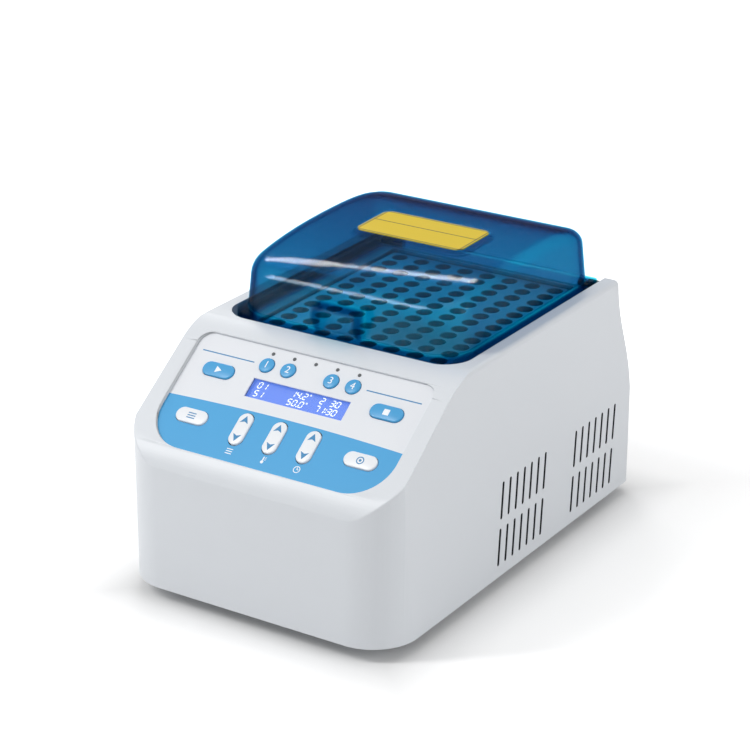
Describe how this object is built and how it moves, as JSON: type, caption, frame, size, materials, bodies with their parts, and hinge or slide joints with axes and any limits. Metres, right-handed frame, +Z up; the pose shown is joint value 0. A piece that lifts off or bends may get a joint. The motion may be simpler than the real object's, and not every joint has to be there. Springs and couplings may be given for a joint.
{
  "type": "dry block heater",
  "caption": "Benchtop dry block heater: a sloping key panel, an aluminium block of tube wells and a clear hinged cover over it.",
  "frame": {"origin": "bench plane under the middle of the housing's bounding box", "axes": "+Z up, -Y the side with the key panel, +X to the right of someone facing the panel"},
  "size_m": [0.178, 0.272, 0.1775],
  "materials": {
    "housing_plastic": "satin",
    "film_print": "satin",
    "key_blue": "satin",
    "key_white": "satin",
    "clear_cover": "transparent tinted",
    "plate_yellow": "satin",
    "block_aluminium": "anodised",
    "plate_aluminium": "machined",
    "sheet_steel": "satin",
    "fastener_steel": "zinc plated",
    "foot_rubber": "matt",
    "black_plastic": "satin",
    "hinge_metal": "satin",
    "contact_brass": "bright",
    "lens": "clear",
    "display_blue": "backlit",
    "lamp_dark": "satin",
    "ceramic_white": "matt",
    "foam_dark": "matt",
    "board_green": "satin",
    "core_yellow": "satin",
    "can_blue": "satin"
  },
  "bodies": {
    "base": {"housing": "housing_plastic", "floor_plate": "sheet_steel", "rubber_feet": "foot_rubber", "foot_screws": "fastener_steel", "floor_screws": "fastener_steel", "rear_panel": "sheet_steel", "power_inlet": "black_plastic", "inlet_contacts": "contact_brass", "inlet_screws": "fastener_steel", "switch_frame": "black_plastic", "hinge_brackets": "hinge_metal", "hinge_pins": "fastener_steel", "well_frame": "plate_aluminium", "heater_plate": "plate_aluminium", "thermoelectric_modules": "ceramic_white", "insulation_pad": "foam_dark", "heat_sink": "plate_aluminium", "support_posts": "fastener_steel", "fan_frame": "black_plastic", "fan_screws": "fastener_steel", "temperature_sensor": "fastener_steel", "thermal_cutout": "black_plastic", "panel_film": "film_print", "display_window": "lens", "display_module": "display_blue", "control_board": "board_green", "control_board_screws": "fastener_steel", "tact_switches": "black_plastic", "lamps": "lamp_dark", "power_board": "board_green", "transformer": "core_yellow", "capacitors": "can_blue", "board_standoffs": "contact_brass"},
    "cover": {"cover": "clear_cover", "cover_plate": "plate_yellow"},
    "block": {"sample_block": "block_aluminium"},
    "fan": {"fan_rotor": "black_plastic"},
    "drawer": {"fuse_drawer": "black_plastic"},
    "power_rocker": {"switch_rocker": "black_plastic"},
    "programme_key_1": {"programme_key_1": "key_blue"},
    "programme_key_2": {"programme_key_2": "key_blue"},
    "programme_key_3": {"programme_key_3": "key_blue"},
    "programme_key_4": {"programme_key_4": "key_blue"},
    "start_key": {"start_key": "key_blue"},
    "stop_key": {"stop_key": "key_blue"},
    "option_key": {"option_key": "key_white"},
    "mode_key": {"mode_key": "key_white"},
    "programme_rocker": {"programme_rocker": "key_white"},
    "temperature_rocker": {"temperature_rocker": "key_white"},
    "time_rocker": {"time_rocker": "key_white"}
  },
  "joints": [
    {"name": "cover_hinge", "type": "hinge", "parent": "base", "child": "cover", "pos_m": [0, 0.1135, 0.1345], "axis": [-1, 0, 0], "range_deg": [0, 95]},
    {"name": "block_lift", "type": "slide", "parent": "base", "child": "block", "axis": [0, 0, 1], "range_m": [0, 0.01]},
    {"name": "fan_spin", "type": "hinge", "parent": "base", "child": "fan", "pos_m": [0, 0.0335, 0.029], "axis": [0, 0, 1], "continuous": true},
    {"name": "fuse_drawer_slide", "type": "slide", "parent": "base", "child": "drawer", "axis": [0, 1, 0], "range_m": [0, 0.02]},
    {"name": "power_rocker_tilt", "type": "hinge", "parent": "base", "child": "power_rocker", "pos_m": [0, 0.1226, 0.046], "axis": [-1, 0, 0], "range_deg": [0, 20]},
    {"name": "programme_key_1_press", "type": "slide", "parent": "base", "child": "programme_key_1", "axis": [0, 0.5878, -0.809], "range_m": [0, 0.0005], "stiffness_N_per_m": 800},
    {"name": "programme_key_2_press", "type": "slide", "parent": "base", "child": "programme_key_2", "axis": [0, 0.5878, -0.809], "range_m": [0, 0.0005], "stiffness_N_per_m": 800},
    {"name": "programme_key_3_press", "type": "slide", "parent": "base", "child": "programme_key_3", "axis": [0, 0.5878, -0.809], "range_m": [0, 0.0005], "stiffness_N_per_m": 800},
    {"name": "programme_key_4_press", "type": "slide", "parent": "base", "child": "programme_key_4", "axis": [0, 0.5878, -0.809], "range_m": [0, 0.0005], "stiffness_N_per_m": 800},
    {"name": "start_key_press", "type": "slide", "parent": "base", "child": "start_key", "axis": [0, 0.5878, -0.809], "range_m": [0, 0.0005], "stiffness_N_per_m": 800},
    {"name": "stop_key_press", "type": "slide", "parent": "base", "child": "stop_key", "axis": [0, 0.5878, -0.809], "range_m": [0, 0.0005], "stiffness_N_per_m": 800},
    {"name": "option_key_press", "type": "slide", "parent": "base", "child": "option_key", "axis": [0, 0.5878, -0.809], "range_m": [0, 0.0005], "stiffness_N_per_m": 800},
    {"name": "mode_key_press", "type": "slide", "parent": "base", "child": "mode_key", "axis": [0, 0.5878, -0.809], "range_m": [0, 0.0005], "stiffness_N_per_m": 800},
    {"name": "programme_rocker_tilt", "type": "hinge", "parent": "base", "child": "programme_rocker", "pos_m": [-0.0219, -0.10728, 0.099], "axis": [1, 0, 0], "range_deg": [-2.5, 2.5], "stiffness_Nm_per_rad": 0.05},
    {"name": "temperature_rocker_tilt", "type": "hinge", "parent": "base", "child": "temperature_rocker", "pos_m": [0, -0.10728, 0.099], "axis": [1, 0, 0], "range_deg": [-2.5, 2.5], "stiffness_Nm_per_rad": 0.05},
    {"name": "time_rocker_tilt", "type": "hinge", "parent": "base", "child": "time_rocker", "pos_m": [0.0219, -0.10728, 0.099], "axis": [1, 0, 0], "range_deg": [-2.5, 2.5], "stiffness_Nm_per_rad": 0.05}
  ]
}
